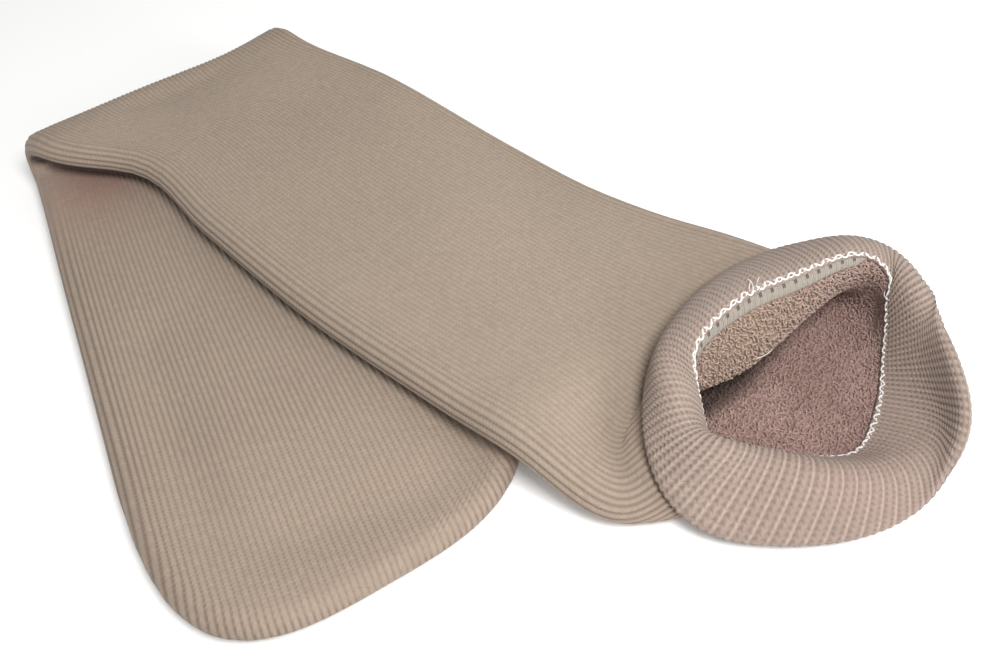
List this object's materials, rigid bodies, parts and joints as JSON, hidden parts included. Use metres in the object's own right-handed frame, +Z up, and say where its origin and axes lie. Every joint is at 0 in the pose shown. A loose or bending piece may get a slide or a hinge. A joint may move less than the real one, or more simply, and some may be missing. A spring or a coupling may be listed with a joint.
{
  "type": "prosthetic sock",
  "caption": "Thick rib-knit prosthetic sock with a terry inside and a closed toe, folded over once, its turned-in hem flared open at the mouth.",
  "frame": {"origin": "centre of the bounding box in X and Y, at the surface the sock lies on", "axes": "+X along the upper leg from the fold to the mouth, +Y across it to its far edge, +Z up"},
  "size_m": [0.315, 0.2086, 0.0397],
  "materials": {
    "rib_knit": "matt ribbed cotton and wool knit, terry on the inside",
    "hem_knit": "matt ribbed knit, turned in and stitched with white zigzag thread"
  },
  "bodies": {
    "root": {"knit_leg": "rib_knit", "knit_mouth": "rib_knit", "hem_band": "hem_knit"}
  },
  "joints": []
}
